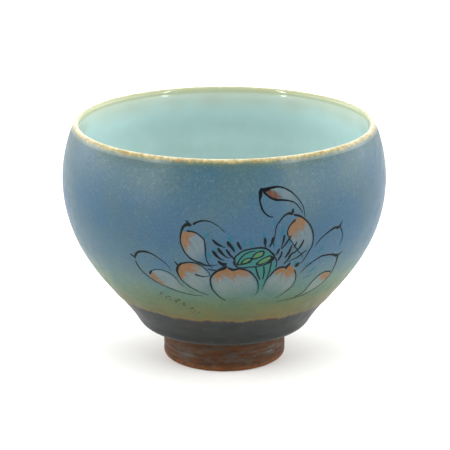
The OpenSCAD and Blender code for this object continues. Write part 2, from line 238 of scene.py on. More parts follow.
def turned(name, rows, turns=TURNS, sharp_rows=()):
    """A closed solid of revolution. rows is a list of (r, z), anticlockwise round the section:
    r and z are the ring's radius and height, or arrays round it; a radius of 0 makes a pole."""
    angle = np.arange(turns) * 2 * math.pi / turns
    points = []
    starts = []
    poles = []
    for r, z in rows:
        starts.append(len(points))
        if np.max(r) < 1e-6:
            points.append((0.0, 0.0, float(np.mean(z))))
            poles.append(True)
            continue
        r = np.broadcast_to(r, turns)
        z = np.broadcast_to(z, turns)
        points.extend(zip(r * np.sin(angle), -r * np.cos(angle), z))
        poles.append(False)
    faces = []
    count = len(rows)
    last = count if not (poles[0] and poles[-1]) else count - 1
    step = np.arange(turns)
    for i in range(last):
        k = (i + 1) % count
        a = starts[i] + step
        b = starts[i] + (step + 1) % turns
        c = starts[k] + (step + 1) % turns
        d = starts[k] + step
        if poles[i] and poles[k]:
            continue
        if poles[i]:
            faces.extend(zip(np.full(turns, starts[i]).tolist(), c.tolist(), d.tolist()))
        elif poles[k]:
            faces.extend(zip(a.tolist(), b.tolist(), np.full(turns, starts[k]).tolist()))
        else:
            faces.extend(zip(a.tolist(), b.tolist(), c.tolist(), d.tolist()))
    sharp = np.zeros(len(points), bool)
    for i in sharp_rows:
        sharp[starts[i]:starts[i] + (1 if poles[i] else turns)] = True
    return mesh_object(name, np.array(points), faces, sharp=sharp)


def cut(z, inside=False):
    """Distance along the skin where it passes height z, on the outside or the inside."""
    if inside:
        return float(np.interp(-z, -skin[crest:, 1], skin_s[crest:]))
    first = int(np.argmax(skin[:, 0] > PAST_HEEL))
    return float(np.interp(z, skin[first:crest, 1], skin_s[first:crest]))


ANGLE = np.arange(TURNS) * 2 * math.pi / TURNS


def glaze_piece(node, low, high, step, dip, values=None):
    """A glaze layer between two places on the skin: a fine front, a coarse back inside the clay."""
    front = np.linspace(low, high, max(2, int(round((high - low) / step)) + 1))
    back = front[::4] if front[::4][-1] == front[-1] else np.append(front[::4], front[-1])
    rows = []
    for s in front:
        r, z, n_r, n_z = skin_at(s)
        if r < 1e-6:
            rows.append((0.0, z - 0.02))
            continue
        d = dip(ANGLE, z, s)
        rows.append((r - d * n_r, z - d * n_z))
    for s in back[::-1]:
        r, z, n_r, n_z = skin_at(s)
        rows.append((max(0.0, r - GLAZE * n_r) if r > 1e-6 else 0.0, z - GLAZE * n_z))
    ends = (0, len(front) - 1, len(front), len(rows) - 1)
    piece = turned(node + "_look", rows, sharp_rows=ends)
    for name, number in (values or {}).items():
        columns = []
        for s in list(front) + list(back[::-1]):
            r, z = (float(v) for v in skin_at(s)[:2])
            ring = np.broadcast_to(number(ANGLE, z, s), TURNS)
            columns.append(ring[:1] if r < 1e-6 else ring)
        give(piece, **{name: np.concatenate(columns)})
    return piece


# ---- Materials --------------------------------------------------------------

def rgb(r, g, b):
    """A colour from screen values of 0 to 255."""
    def line(c):
        c /= 255
        return c / 12.92 if c <= 0.04045 else ((c + 0.055) / 1.055) ** 2.4
    return (line(r), line(g), line(b), 1)


class Tree:
    """Shorthand for one material's nodes; an input is a constant or another node's output."""

    def __init__(self, name):
        self.material = bpy.data.materials.new(name)
        self.material.use_nodes = True
        self.nodes = self.material.node_tree.nodes
        self.links = self.material.node_tree.links
        self.shader = self.nodes["Principled BSDF"]

    def put(self, socket, value):
        if isinstance(value, bpy.types.NodeSocket):
            self.links.new(value, socket)
        else:
            socket.default_value = value

    def math(self, kind, a, b=0.0):
        node = self.nodes.new("ShaderNodeMath")
        node.operation = kind
        self.put(node.inputs[0], a)
        self.put(node.inputs[1], b)
        return node.outputs[0]

    def mix(self, share, a, b, blend="MIX"):
        node = self.nodes.new("ShaderNodeMix")
        node.data_type = "RGBA"
        node.blend_type = blend
        self.put(node.inputs["Factor"], share)
        self.put([s for s in node.inputs if s.identifier == "A_Color"][0], a)
        self.put([s for s in node.inputs if s.identifier == "B_Color"][0], b)
        return [s for s in node.outputs if s.identifier == "Result_Color"][0]

    def ramp(self, share, stops):
        node = self.nodes.new("ShaderNodeValToRGB")
        steps = node.color_ramp.elements
        while len(steps) < len(stops):
            steps.new(1.0)
        for step, (place, colour) in zip(steps, stops):
            step.position = place
            step.color = colour
        self.put(node.inputs["Fac"], share)
        return node.outputs["Color"]

    def span(self, value, low, high, to_low=0.0, to_high=1.0):
        node = self.nodes.new("ShaderNodeMapRange")
        node.interpolation_type = "SMOOTHSTEP"
        self.put(node.inputs["Value"], value)
        node.inputs["From Min"].default_value = low
        node.inputs["From Max"].default_value = high
        node.inputs["To Min"].default_value = to_low
        node.inputs["To Max"].default_value = to_high
        return node.outputs["Result"]

    def place(self, stretch=(1, 1, 1)):
        """The point in the cup's own coordinates, in mm, stretched."""
        node = self.nodes.new("ShaderNodeTexCoord")
        scale = self.nodes.new("ShaderNodeMapping")
        scale.inputs["Scale"].default_value = [k / MM for k in stretch]
        self.links.new(node.outputs["Object"], scale.inputs["Vector"])
        return scale.outputs["Vector"]

    def height(self):
        node = self.nodes.new("ShaderNodeSeparateXYZ")
        self.links.new(self.place(), node.inputs[0])
        return node.outputs["Z"]

    def cloud(self, size, detail=2.0, rough=0.5, stretch=(1, 1, 1)):
        """Noise around 0.5 with features of the given size in mm."""
        node = self.nodes.new("ShaderNodeTexNoise")
        self.links.new(self.place(stretch), node.inputs["Vector"])
        node.inputs["Scale"].default_value = 1 / size
        node.inputs["Detail"].default_value = detail
        node.inputs["Roughness"].default_value = rough
        return node.outputs["Fac"]

    def spots(self, size, low, high, stretch=(1, 1, 1)):
        """1 at the hearts of scattered cells and 0 elsewhere, and a random number for each cell."""
        node = self.nodes.new("ShaderNodeTexVoronoi")
        self.links.new(self.place(stretch), node.inputs["Vector"])
        node.inputs["Scale"].default_value = 1 / size
        near = self.span(node.outputs["Distance"], low, high, 1.0, 0.0)
        some = self.nodes.new("ShaderNodeSeparateColor")
        self.links.new(node.outputs["Color"], some.inputs[0])
        return near, some.outputs["Red"]

    def number(self, name):
        node = self.nodes.new("ShaderNodeAttribute")
        node.attribute_name = name
        return node.outputs["Fac"]

    def bump(self, height, strength, distance):
        node = self.nodes.new("ShaderNodeBump")
        node.inputs["Strength"].default_value = strength
        node.inputs["Distance"].default_value = distance
        self.put(node.inputs["Height"], height)
        self.links.new(node.outputs["Normal"], self.shader.inputs["Normal"])

    def finish(self, colour, roughness, **more):
        self.put(self.shader.inputs["Base Color"], colour)
        self.put(self.shader.inputs["Roughness"], roughness)
        for name, value in more.items():
            self.put(self.shader.inputs[name.replace("_", " ")], value)
        return self.material


class Sky(Tree):
    """The same for a world's nodes."""

    def __init__(self, world):
        self.nodes = world.node_tree.nodes
        self.links = world.node_tree.links


Z_LOW = 18.0
Z_HIGH = 66.0


def glaze_colour(t, edge=False):
    """Colour of the outer glaze at the shaded point, by height, with mottling and speckle."""
    drift = t.span(t.cloud(9, 2, stretch=(1, 1, 2)), 0.25, 0.75, -0.8, 0.8)
    z = t.math("ADD", t.height(), drift)
    share = t.span(z, Z_LOW, Z_HIGH)
    share.node.interpolation_type = "LINEAR"
    stops = [
        (18, rgb(80, 74, 42)), (21.5, rgb(80, 77, 42)), (24, rgb(76, 82, 50)),
        (26.5, rgb(70, 86, 62)), (28.5, rgb(71, 91, 76)), (31, rgb(72, 93, 86)),
        (34, rgb(67, 89, 94)), (38, rgb(60, 84, 97)), (46, rgb(54, 79, 94)),
        (54, rgb(56, 80, 93)), (60, rgb(57, 82, 92)), (63.2, rgb(57, 82, 90)),
        (64.6, rgb(61, 82, 84)),
    ]
    colour = t.ramp(share, [((z0 - Z_LOW) / (Z_HIGH - Z_LOW), c) for z0, c in stops])
    if edge:
        over = t.math("ADD", t.number("edge"), t.span(t.cloud(0.5, 1), 0.3, 0.7, -0.09, 0.09))
        skirt = t.mix(t.span(t.cloud(5, 3, 0.6, (1, 1, 2.5)), 0.35, 0.7),
                      rgb(23, 26, 24), rgb(33, 35, 32))
        skirt = t.mix(t.span(t.height(), 11.5, 9.2), skirt, rgb(40, 33, 25))
        skirt = t.mix(t.span(over, -1.1, -0.1, 0.0, 0.8), skirt, rgb(42, 28, 27))
        colour = t.mix(t.span(over, 1.3, 0.2), colour, rgb(92, 76, 31))
        colour = t.mix(t.span(over, 0.32, 0.02), colour, rgb(64, 37, 20))
        colour = t.mix(t.span(over, 0.06, -0.12), colour, skirt)
    blue = t.span(t.cloud(13, 3, 0.55, (1, 1, 0.8)), 0.42, 0.62)
    colour = t.mix(1.0, colour, t.mix(blue, (0.97, 0.96, 0.93, 1), (0.79, 0.91, 1.03, 1)), "MULTIPLY")
    veil = t.math("MULTIPLY", t.span(t.cloud(1.1, 3, 0.7), 0.5, 0.66), t.span(t.height(), 44, 62))
    colour = t.mix(t.math("MULTIPLY", veil, 0.3), colour, rgb(84, 101, 99))
    soft = t.span(t.cloud(0.5, 3, 0.7), 0.32, 0.68, 0.88, 1.12)
    return t.mix(1.0, colour, soft, "MULTIPLY")


def wall_material(name, edge=False):
    t = Tree(name)
    colour = glaze_colour(t, edge)
    near, pick = t.spots(1.6, 0.05, 0.13)
    light = t.math("MULTIPLY", near, t.span(pick, 0.80, 0.82))
    colour = t.mix(t.math("MULTIPLY", light, 0.35), colour, rgb(132, 146, 146))
    near, pick = t.spots(2.3, 0.05, 0.12, (1, 1, 1.1))
    dark = t.math("MULTIPLY", near, t.span(pick, 0.86, 0.88))
    colour = t.mix(t.math("MULTIPLY", dark, 0.4), colour, rgb(28, 37, 41))
    t.bump(t.cloud(0.35, 2, 0.6), 0.25, 0.02 * MM)
    rough = t.span(t.cloud(3, 3), 0.3, 0.7, 0.34, 0.42)
    return t.finish(colour, rough, Specular_IOR_Level=0.15)


def paint_material(name, layers, roughness=0.38, gloss=0.12):
    """Enamel over the outer glaze: layers of (attribute, colour, how much its cover varies)."""
    t = Tree(name)
    colour = glaze_colour(t)
    for attribute, over, patchy in layers:
        cover = t.number(attribute)
        if patchy:
            cover = t.math("MULTIPLY", cover, t.span(t.cloud(0.7, 3, 0.6), 0.3, 0.62, 1 - patchy, 1.0))
        colour = t.mix(t.math("MINIMUM", cover, 1.0), colour, over)
    t.bump(t.cloud(0.3, 2, 0.6), 0.25, 0.015 * MM)
    return t.finish(colour, roughness, Specular_IOR_Level=gloss)


def liner_material():
    t = Tree("liner_glaze")
    z = t.math("ADD", t.height(), t.span(t.cloud(8, 2), 0.3, 0.7, -0.8, 0.8))
    share = t.span(z, 58, 65.2)
    colour = t.mix(share, rgb(178, 205, 202), rgb(164, 176, 162))
    soft = t.span(t.cloud(4, 3), 0.3, 0.7, 0.98, 1.02)
    colour = t.mix(1.0, colour, soft, "MULTIPLY")
    t.bump(t.cloud(1.6, 2, 0.5, (1, 1, 0.35)), 0.12, 0.03 * MM)
    return t.finish(colour, 0.1, Coat_Weight=0.6, Coat_Roughness=0.03)


def lip_material():
    t = Tree("lip_glaze")
    q = t.math("ADD", t.number("across"), t.span(t.cloud(1.4, 3, 0.6), 0.3, 0.7, -0.07, 0.07))
    colour = t.ramp(q, [
        (0.0, rgb(60, 81, 83)), (0.14, rgb(74, 91, 80)), (0.26, rgb(122, 118, 84)),
        (0.36, rgb(165, 152, 108)), (0.5, rgb(198, 194, 166)), (0.64, rgb(158, 160, 124)),
        (1.0, rgb(158, 170, 146)),
    ])
    rust = t.math("MULTIPLY", t.span(t.cloud(1.1, 3, 0.65), 0.52, 0.68), t.span(q, 0.6, 0.38))
    rust = t.math("MULTIPLY", rust, t.span(q, 0.12, 0.24))
    colour = t.mix(t.math("MULTIPLY", rust, 0.75), colour, rgb(130, 94, 44))
    near, pick = t.spots(1.7, 0.08, 0.2)
    speck = t.math("MULTIPLY", near, t.span(pick, 0.84, 0.86))
    speck = t.math("MULTIPLY", speck, t.span(q, 0.65, 0.5))
    colour = t.mix(t.math("MULTIPLY", speck, 0.8), colour, rgb(66, 38, 18))
    t.bump(t.cloud(0.8, 2), 0.2, 0.03 * MM)
    return t.finish(colour, t.span(q, 0.3, 0.5, 0.3, 0.09), Specular_IOR_Level=0.28)


def clay_material(name):
    t = Tree(name)
    bands = t.cloud(2.4, 4, 0.62, (0.3, 0.3, 2.4))
    patches = t.cloud(2.4, 4, 0.62, (0.6, 0.6, 1.3))
    colour = t.mix(t.span(bands, 0.35, 0.65), rgb(46, 26, 10), rgb(67, 38, 14))
    colour = t.mix(t.span(patches, 0.5, 0.6, 0.0, 0.6), colour, rgb(56, 47, 36))
    colour = t.mix(t.span(t.cloud(1.5, 4, 0.65), 0.58, 0.7, 0.0, 0.8), colour, rgb(30, 22, 16))
    middle = t.math("MULTIPLY", t.span(t.height(), 2.4, 3.4), t.span(t.height(), 6.2, 5.0))
    grey = t.math("MULTIPLY", middle, t.span(t.cloud(3.4, 3, 0.6, (0.5, 0.5, 1.1)), 0.5, 0.64, 0.0, 0.6))
    colour = t.mix(grey, colour, rgb(58, 54, 49))
    low = t.math("ADD", t.height(), t.span(t.cloud(1.6, 3), 0.3, 0.7, -0.5, 0.5))
    colour = t.mix(t.span(low, 1.8, 0.7), colour, rgb(86, 50, 19))
    grain = t.span(t.cloud(0.25, 3, 0.7), 0.3, 0.7, 0.88, 1.12)
    colour = t.mix(1.0, colour, grain, "MULTIPLY")
    t.bump(t.cloud(0.3, 3, 0.65), 0.5, 0.06 * MM)
    return t.finish(colour, t.span(patches, 0.45, 0.65, 0.72, 0.5), Specular_IOR_Level=0.18)


# ---- Bookkeeping ------------------------------------------------------------

def fit(piece, node, material):
    """Puts the piece on the cup's body in place of its CAD node."""
    piece.data.materials.append(material)
    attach(piece, BODY)
    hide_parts(node)


# ---- Glazed wall and clay ---------------------------------------------------

dark_top = max(z for r, z in rings("dark_glaze"))
green_top = max(z for r, z in rings("olive_glaze"))
# Distances along the skin where one glaze zone ends and the next begins
marks = [0.0, cut(dark_top), cut(green_top), cut(lip_low), cut(lip_low, True), float(skin_s[-1])]


def outer_depth(az, z, s):
    return outer_dip(az, z)


def liner_depth(az, z, s):
    return liner_dip(az, s) * ease(s, marks[4], marks[4] + 2) * ease(marks[5] - s, 0, 6)


EDGE = {"edge": lambda az, z, s: z - edge_z(az)}
ACROSS = {"across": lambda az, z, s: (s - marks[3]) / (marks[4] - marks[3])}

# Each glaze zone, in the order of the marks: its node, its step along the skin in mm, how deep its
# surface dips, its numbers per vertex, and its material's maker
ZONES = [
    ("dark_glaze", 0.2, outer_depth, EDGE, lambda: wall_material("dark_glaze", True)),
    ("olive_glaze", 0.2, outer_depth, EDGE, lambda: wall_material("olive_glaze", True)),
    ("blue_glaze", 0.36, outer_depth, None, lambda: wall_material("blue_glaze")),
    ("lip_glaze", 0.09, outer_depth, ACROSS, lip_material),
    ("liner_glaze", 0.68, liner_depth, None, liner_material),
]
for i, (node, step, dip, values, material) in enumerate(ZONES):
    fit(glaze_piece(node, marks[i], marks[i + 1], step, dip, values), node, material())

# ---- Clay: the foot ring and the body inside the glazes ---------------------

def densified(points, step):
    """The polyline with no stretch longer than step."""
    made = [points[0]]
    for a, b in zip(points, points[1:]):
        count = max(1, math.ceil(math.dist(a, b) / step))
        made.extend((a[0] + (b[0] - a[0]) * i / count, a[1] + (b[1] - a[1]) * i / count)
                    for i in range(1, count + 1))
    return made


foot = rings("foot_ring")
foot_r = max(r for r, z in foot)
foot_top = max(z for r, z in foot)
hub_r = min(r for r, z in foot)
well_z = max(z for r, z in foot if z < foot_top - 0.1)
foot_mid = foot_r - 1.9     # parts the ring's inner side from its outer side
inside = sorted((p for p in foot if p[0] < foot_mid), key=lambda p: (-p[1], p[0]))
outside = sorted((p for p in foot if p[0] > foot_mid), key=lambda p: (p[1], p[0]))
section = densified(spaced(inside) + spaced(outside), 0.14)
TURNED = 360           # steps round the clay pieces
GROOVE_Z = 4.3         # mm, height of the groove scored round the foot
turn = np.arange(TURNED) * 2 * math.pi / TURNED
u = turn * foot_r
round_foot = 2 * math.pi * foot_r
rows = []
for r, z in section:
    out = 1.0 if r > foot_mid else -1.0
    scored = 0.05 * (1 + noise(u, z, 26, 0.5, 31, round_foot))
    scored = scored + 0.03 * (1 + noise(u, z, 3, 0.8, 32, round_foot))
    groove = 0.16 * np.exp(-((z - GROOVE_Z - 0.12 * np.sin(turn)) / 0.32) ** 2) if out > 0 else 0
    chips = 0.1 * ease(noise(u, z, 0.9, 0.7, 33, round_foot), 0.55, 0.9)
    hold = ease(foot_top - z, 0.05, 0.8)
    cut_in = (scored + groove + chips) * hold
    worn = 0.03 * ease(noise(u, r, 2.5, 0.8, 34, round_foot), 0, 1) if z <= 0.02 else 0
    rows.append((r - out * cut_in, z + worn + 0 * turn))
fit(turned("foot_ring_look", rows, TURNED), "foot_ring", clay_material("stoneware"))

# The floor of the foot's well, with the rings of turning, then the bowl behind the glazes
WELL_RING = 1.7        # mm between two rings of turning
rows = [(0.0, well_z + 0.05)]
for r in np.arange(0.25, hub_r, 0.25):
    ring = 0.07 * (1 + math.sin(r * 2 * math.pi / WELL_RING))
    ring = ring + 0.05 * (1 + noise(turn * 6, r, 4, 0.8, 35, 12 * math.pi))
    rows.append((r + 0 * turn, well_z + ring * float(ease(hub_r - r, 0, 0.6))))
rows.append((hub_r, well_z))
rows.append((hub_r, foot_top))
for s in np.arange(0.2, skin_s[-1], 1.0):
    r, z, n_r, n_z = (float(v) for v in skin_at(s))
    if r > 0.3:
        rows.append((r - GLAZE * n_r, z - GLAZE * n_z))
rows.append((0.0, floor_z - GLAZE))
# This is the frame's own flat stoneware, so the well's floor is paler than the foot ring's clay
plain_clay = bpy.data.materials["stoneware"]
fit(turned("clay_bowl_look", rows, TURNED), "clay_bowl", plain_clay)

# ---- Painting: strokes are lists of (distance round the belly, height, width) in mm ----------

LEFT_OUTER = [
    [(-26.6, 40, .25), (-25.7, 39.5, .5), (-24.9, 39, .8)],
    [(-25.1, 39.5, .6), (-24.2, 40.7, .55), (-22.4, 41.4, .5), (-20.7, 41.4, .4), (-18.9, 40.8, .28),
     (-17, 39.6, .22), (-15.4, 38.2, .15), (-14.7, 36.8, .08)],
    [(-25.3, 38.1, .33), (-24.5, 35.9, .3), (-22.1, 33.6, .27), (-20.3, 32.5, .22), (-16, 30.8, .2),
     (-13.6, 30.1, .18), (-8.9, 29.3, .14), (-6.1, 29.2, .06)],
    [(-21.6, 34.7, .6), (-21.1, 35.5, .5), (-20.5, 36, .2), (-19.4, 36.5, .16), (-17.5, 36.7, .17),
     (-15.9, 36.3, .15), (-14.6, 35.6, .15), (-12.6, 32.7, .12), (-11.8, 31.8, .06)],
]
LEFT_LOW = [
    [(-13.3, 39.8, .2), (-12.8, 39.1, .36), (-12.3, 38.3, .6)],
    [(-12.6, 38.2, .6), (-11.7, 39.1, .5), (-10.3, 39.6, .36), (-9, 39.8, .3), (-7.7, 39.7, .26),
     (-6.4, 39.2, .22), (-5.2, 38.3, .2), (-4.2, 37.1, .17), (-3.7, 35.9, .15)],
    [(-12.5, 38.3, .6), (-12.9, 37, .6), (-12.7, 35.8, .42), (-12.1, 34.3, .3), (-10.9, 32.9, .24),
     (-9.4, 31.7, .2), (-8.1, 31, .16), (-6.5, 30.2, .13), (-4.7, 29.6, .07)],
    [(-7.9, 36.3, .42), (-6.9, 35.9, .34), (-5.6, 35.7, .28), (-4, 35.9, .14)],
]
LEFT_UPRIGHT = [
    [(-9.7, 51.4, .3), (-9.1, 50.7, .5), (-8.3, 49.9, .75)],
    [(-8.5, 50.2, .6), (-9.7, 50.2, .8), (-10.5, 49.4, .6), (-10.9, 48.3, .42), (-11.2, 46.8, .36),
     (-11.2, 45.2, .34), (-10.8, 43.9, .34), (-10.1, 42.4, .33), (-9, 41.1, .33), (-7.7, 40.3, .38),
     (-6.2, 39.7, .55), (-5, 39.2, .45), (-3.5, 39.1, .3), (-1.7, 39.4, .12)],
    [(-9.5, 48.5, .4), (-8.2, 48.5, .36), (-7, 48.1, .3), (-6, 47.4, .27), (-5.1, 46.5, .24),
     (-4.9, 45.2, .26), (-4.8, 43.9, .28), (-4.8, 42.3, .26), (-4.6, 40.7, .24), (-3.9, 39.3, .24),
     (-3, 38.1, .1)],
]
LEFT_BACK = [
    [(-7.9, 50.4, .5), (-6.5, 51.2, .4), (-4.9, 51.5, .3), (-3.3, 51.2, .22), (-1.9, 50.4, .18),
     (-0.8, 49.6, .13), (0.2, 48.4, .16)],
]
FRONT_CENTRE = [
    [(0.7, 39.1, .35), (0.1, 38.5, .9), (-1.4, 37.8, .66), (-2.9, 36.6, .5), (-3.8, 35, .42),
     (-3.8, 33.3, .4), (-3.5, 31.9, .36), (-2.6, 30.4, .3), (-1.3, 28.9, .26), (0.6, 27.7, .18)],
    [(0.9, 38.6, .4), (2.1, 37.9, .65), (4.1, 38.1, .42), (5.8, 37.7, .4), (7.3, 36.8, .38),
     (8.4, 35.5, .34), (9.3, 34.1, .32), (9.8, 32.4, .26), (9.9, 30.8, .2), (9.4, 29.2, .08)],
]
FRONT_RIGHT = [
    [(18.2, 38.6, .3), (17.5, 37.9, .7), (16.9, 36.9, .5)],
    [(16.9, 37.6, .5), (15.2, 37.6, .5), (14, 37, .42), (12.9, 35.7, .36), (12, 34.6, .34),
     (11.5, 33, .25), (11.3, 32, .14), (11, 30.8, .06)],
    [(19.8, 36.4, .3), (20.8, 34.5, .28), (21.1, 32.6, .24), (20.7, 30.8, .2), (19.6, 29.7, .17),
     (18.1, 28.4, .12), (16.4, 27.4, .06)],
]
RIGHT_UPRIGHT = [
    [(17.9, 53.7, .3), (17.8, 52.9, .7), (17.7, 52.4, .85)],
    [(17.9, 52.3, .8), (16.4, 52.5, .5), (15.3, 51.9, .36), (14.2, 50.7, .27), (13.4, 49.5, .24),
     (13.1, 47.8, .22), (12.9, 46, .2), (12.7, 44.9, .1)],
    [(18, 52.1, .5), (19.9, 51.4, .45), (21.6, 50.1, .36), (22.9, 48.5, .33), (23.7, 46.8, .36),
     (24.1, 44.9, .33), (24, 42.9, .3), (23.2, 41.1, .36), (22.3, 39.3, .28), (21.3, 37.9, .2)],
    [(18.6, 50.7, .45), (17.4, 49.7, .33), (16.7, 48.7, .3), (16.4, 47.4, .28), (17, 46, .26),
     (17.6, 45, .22), (18.7, 43.5, .22), (20, 41.8, .24), (21.3, 40.4, .14), (21.6, 39.4, .07)],
    [(20.9, 38.4, .3), (20.3, 37.7, .95), (19.6, 37.4, .4)],
]
RIGHT_BACK = [
    [(33.6, 47.9, .15), (33.3, 47.3, .3), (32.7, 46.4, .7), (30.8, 46.4, .55), (29.2, 45.8, .4),
     (27.6, 45, .3), (26.4, 44.1, .25), (25.5, 43.1, .2), (25, 42.2, .08)],
    [(33.2, 46.1, .35), (33.9, 44.8, .25), (34.5, 43.3, .2), (34.3, 41.9, .16), (33.9, 40.8, .08)],
]
RIGHT_OUTER = [
    [(35.9, 38.6, .15), (34.9, 37.9, .5), (34, 37.9, .75), (31.8, 38.6, .5), (29.6, 38.9, .42),
     (27.8, 38.9, .38), (26.3, 38.3, .34), (24.4, 37.2, .3), (23.1, 36.2, .24), (22.1, 34.9, .1)],
    [(34.5, 37.7, .6), (34.9, 35.6, .4), (34.9, 33.9, .3), (34.6, 31.9, .22), (33.6, 30.3, .17),
     (31.9, 28.8, .16), (29.5, 27.6, .16), (26.7, 26.8, .2), (22.8, 26.4, .2), (17.2, 26.1, .06)],
    [(34.2, 32.8, .3), (31.6, 33.4, .33), (29.9, 33, .3), (28.3, 31.7, .27), (27.3, 30.1, .26),
     (26.4, 28.3, .28), (25.4, 27.4, .26), (23.5, 26.9, .12)],
]
TOP = [
    [(9.1, 59.1, .7), (10.7, 59, .95), (12.3, 59.4, .6), (14.1, 59.5, .4), (15.8, 59, .33),
     (17.6, 57.9, .27), (18.9, 56.6, .24), (20, 55.2, .2), (20.7, 53.9, .2), (21.1, 52.3, .18),
     (21.2, 51, .16)],
    [(10, 58.8, .6), (10.8, 57.9, .5), (11.9, 57, .5), (13.4, 56.3, .5), (15.2, 56.1, .42),
     (17, 55.7, .33), (18.4, 55.1, .27), (19.2, 54.3, .24), (19.9, 53.3, .2), (20.6, 52.1, .14)],
    [(9.4, 59, .9), (9.3, 57.8, .8), (9.1, 56.6, .42), (9.4, 55, .42), (9.8, 53.9, .38),
     (10.7, 52.8, .33), (11.8, 52.1, .27), (12.6, 52, .2)],
]
HEAD_RIM = [
    (2.6, 40.7, .7), (2.7, 41.4, .4), (3.6, 42.4, .33), (4.9, 43.3, .33), (6.5, 43.7, .35),
    (8.2, 43.9, .38), (9.8, 43.9, .38), (11.2, 43.4, .38), (12.3, 42.4, .4), (13.2, 41.2, .42),
    (13, 40.5, .5), (12.4, 39.8, .45), (10.5, 38.9, .3), (8.5, 38.6, .3), (6.5, 38.5, .3),
    (4.8, 38.4, .35), (3.4, 38.7, .4), (2.8, 39.6, .6), (2.6, 40.7, .7),
]
SEED_RIMS = [
    [(7.3, 41.4, .3), (7.9, 42.2, .3), (9.2, 42.9, .28), (10.3, 42.8, .34), (10.2, 41.9, .3),
     (8.7, 41.1, .32), (7.4, 41.1, .4), (7.3, 41.4, .3)],
    [(4.3, 39.7, .3), (5.1, 40.7, .26), (6.6, 41.2, .3), (7.3, 41, .55), (6.6, 40.2, .34),
     (5.4, 39.7, .3), (4.3, 39.7, .3)],
    [(8.4, 39.2, .4), (9.2, 40.1, .26), (10.9, 41.1, .26), (12.2, 41.4, .34), (12.7, 40.8, .6),
     (11.5, 39.8, .3), (9.8, 39.2, .3), (8.4, 39.2, .4)],
]
HEAD_LINES = [
    HEAD_RIM, *SEED_RIMS,
    [(3.4, 39.3, .45), (3.6, 39.9, .35), (4.3, 41.3, .3), (5.6, 42.5, .28), (6.9, 43, .24),
     (8.3, 43.1, .14)],
    [(3.4, 39.3, .3), (5.4, 39.5, .2), (7.1, 40.1, .25)],
    [(8.4, 38.5, .3), (9.1, 36.3, .34), (10, 34.4, .38)],
    [(10.6, 38.6, .3), (10.9, 36.5, .34), (10.8, 34.4, .3)],
    [(12.6, 39.6, .32), (12.5, 38.1, .32), (12.3, 36.4, .28), (11.8, 35, .2)],
    [(13.2, 41.2, .3), (14, 39.8, .24), (14.1, 37.6, .24)],
]
LEFT_STAMENS = [
    [(-3.1, 46.6, .2), (-2.4, 45.9, .6), (-1.6, 45.2, .62), (-0.6, 44.7, .36), (0.3, 44.3, .16)],
    [(0.8, 46.1, .4), (1.2, 45.3, .85), (1.9, 44.4, .7), (2.8, 42.9, .25)],
    [(3.3, 45.9, .4), (3.8, 44.8, .65), (4.4, 43.7, .45)],
    [(-1.7, 44.3, .3), (-1.1, 43.4, .72), (-0.2, 42.3, .5), (0.6, 41.6, .3), (1.6, 41.4, .14)],
    [(-3.1, 43.5, .3), (-2.5, 42.7, .72), (-1.7, 41.7, .6), (-0.8, 41, .36), (0.1, 40.7, .14)],
    [(0.5, 43.9, .3), (1, 43, .6), (1.7, 42, .5), (2.6, 41.2, .4)],
    [(-1.6, 40.6, .3), (-1, 39.9, .72), (-0.2, 39.5, .9), (0.8, 39.8, .35)],
    [(-4.4, 38.1, .2), (-3.4, 37.8, .3), (-1.8, 37.7, .26)],
]
RIGHT_STAMENS = [
    [(10.4, 46.7, .4), (10.5, 45.6, .74), (10.6, 44.6, .42), (10.7, 43.9, .3)],
    [(12.6, 46.7, .4), (12.5, 45.6, .74), (12.1, 44.6, .46), (11.7, 43.9, .33)],
    [(12.5, 45.4, .3), (13, 43.9, .08)],
    [(15.6, 46.9, .5), (15.5, 45.7, .45), (15.2, 44.3, .3), (14.9, 43, .18)],
    [(17.5, 46.5, .35), (16.6, 45.1, .4), (15.7, 43.8, .36), (15, 43, .2)],
    [(14.5, 43.3, .3), (14.1, 42.3, .5), (13.6, 41.4, .2)],
    [(15.3, 42.4, .3), (15.1, 41.3, .46), (14.3, 39.7, .36)],
    [(17.9, 43.9, .25), (17.3, 42, .6), (16.3, 40.4, .4)],
    [(19.3, 44.7, .2), (18.8, 43.5, .4), (18.5, 43, .2)],
    [(21.3, 44.9, .3), (20.5, 43.2, .5), (19.2, 41.8, .36), (18, 41.2, .5), (17.3, 39.9, .5),
     (16.3, 38.5, .33)],
    [(22.5, 41.8, .2), (21.2, 40.9, .36), (19.9, 40, .28), (18.4, 39.5, .18), (17.5, 38.9, .1)],
]
WASHES = [
    [(-6.6, 46.2, .6), (-6.4, 44, .8)],
    [(-4.4, 48.6, .9), (-4.2, 46.8, 1.1)],
    [(-4.2, 43.5, 1.2), (-4, 40.9, 1.3)],
    [(-2.6, 44.4, 1.0), (-2.4, 42, 1.0)],
    [(1.2, 48, 1.0), (1.6, 45.4, 1.2)],
    [(2.4, 45, .8), (2.9, 43.4, .8)],
    [(5.2, 46.2, .7), (5.2, 44, .9)],
    [(6.7, 46.7, .6), (7.4, 44.2, .9)],
    [(10.2, 48, .9), (10.6, 46.2, .8)],
    [(13.1, 45.4, .6), (13.3, 43.7, .6)],
    [(15.3, 49.3, .8), (15.1, 46, .8)],
    [(17.4, 45.8, .6), (16.8, 44, .7)],
    [(12.9, 51.5, .5), (13.1, 49.5, .5)],
    [(28.5, 42, .8), (26.2, 40, .6)],
    [(24.5, 38, .6), (22.4, 36.8, .6)],
    [(27.5, 36, .6), (24.5, 34.2, .6)],
    [(26.6, 33.8, .6), (23.4, 32.6, .5)],
    [(19.2, 39.6, .8), (20.4, 37.2, .8)],
    [(-6.6, 36.5, .7), (-4.6, 37.6, .6)],
]

